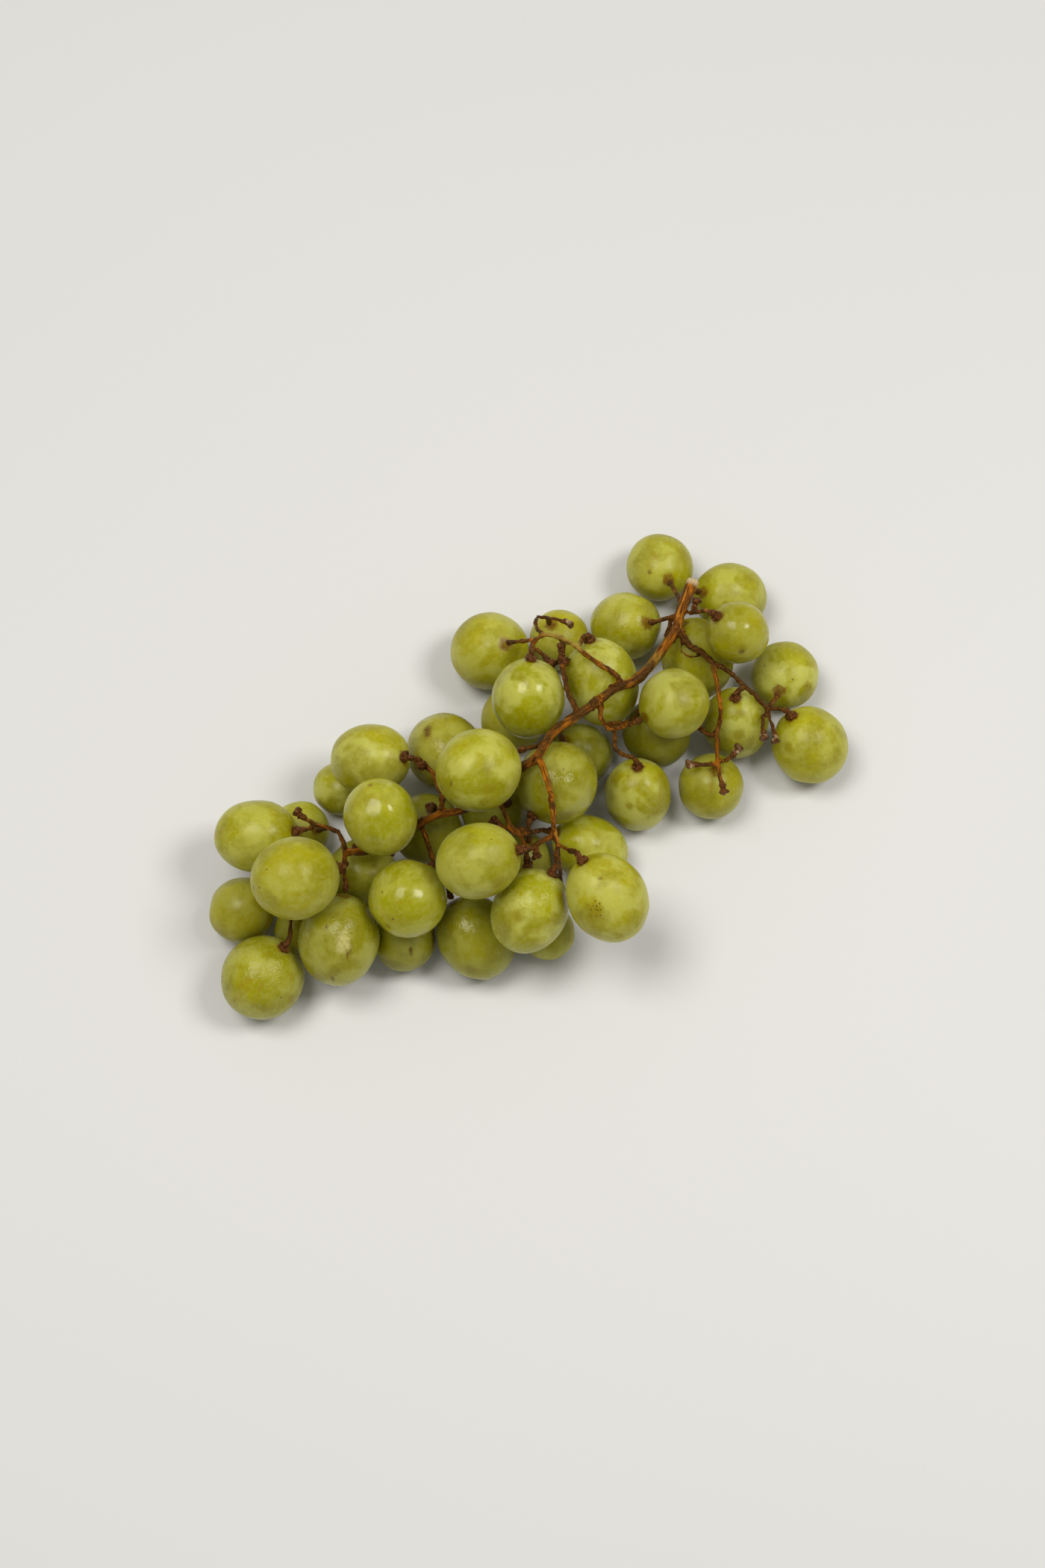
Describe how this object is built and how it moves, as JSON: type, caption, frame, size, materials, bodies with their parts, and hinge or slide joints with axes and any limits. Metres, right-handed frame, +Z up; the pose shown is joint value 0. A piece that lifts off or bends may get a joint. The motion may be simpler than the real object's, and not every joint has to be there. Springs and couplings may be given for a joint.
{
  "type": "bunch of grapes",
  "caption": "Bunch of white table grapes lying down, oval berries on a branching woody stem with some bare pedicels.",
  "frame": {"origin": "middle of the bunch's outline seen from above, on the surface it lies on", "axes": "+X along the main stem towards its cut end, +Y across the bunch, +Z up"},
  "size_m": [0.207, 0.1128, 0.0545],
  "materials": {
    "grape_skin": "soft satin skin with a thin pale bloom",
    "stem": "dry and matte"
  },
  "bodies": {
    "root": {"grape_tip_1": "grape_skin", "grape_tip_2": "grape_skin", "grape_tip_3": "grape_skin", "grape_tip_4": "grape_skin", "grape_tip_5": "grape_skin", "grape_tip_6": "grape_skin", "grape_tip_7": "grape_skin", "grape_tip_8": "grape_skin", "grape_lower_1": "grape_skin", "grape_lower_2": "grape_skin", "grape_lower_3": "grape_skin", "grape_lower_4": "grape_skin", "grape_lower_5": "grape_skin", "grape_lower_6": "grape_skin", "grape_lower_7": "grape_skin", "grape_lower_8": "grape_skin", "grape_middle_1": "grape_skin", "grape_middle_2": "grape_skin", "grape_middle_3": "grape_skin", "grape_middle_4": "grape_skin", "grape_middle_5": "grape_skin", "grape_middle_6": "grape_skin", "grape_middle_7": "grape_skin", "grape_middle_8": "grape_skin", "grape_middle_9": "grape_skin", "grape_middle_10": "grape_skin", "grape_upper_1": "grape_skin", "grape_upper_2": "grape_skin", "grape_upper_3": "grape_skin", "grape_upper_4": "grape_skin", "grape_upper_5": "grape_skin", "grape_top_1": "grape_skin", "grape_top_2": "grape_skin", "grape_top_3": "grape_skin", "grape_top_4": "grape_skin", "grape_top_5": "grape_skin", "grape_wing_1": "grape_skin", "grape_wing_2": "grape_skin", "grape_wing_3": "grape_skin", "grape_wing_4": "grape_skin", "grape_wing_5": "grape_skin", "grape_wing_6": "grape_skin", "grape_wing_7": "grape_skin", "stem": "stem"}
  },
  "joints": []
}
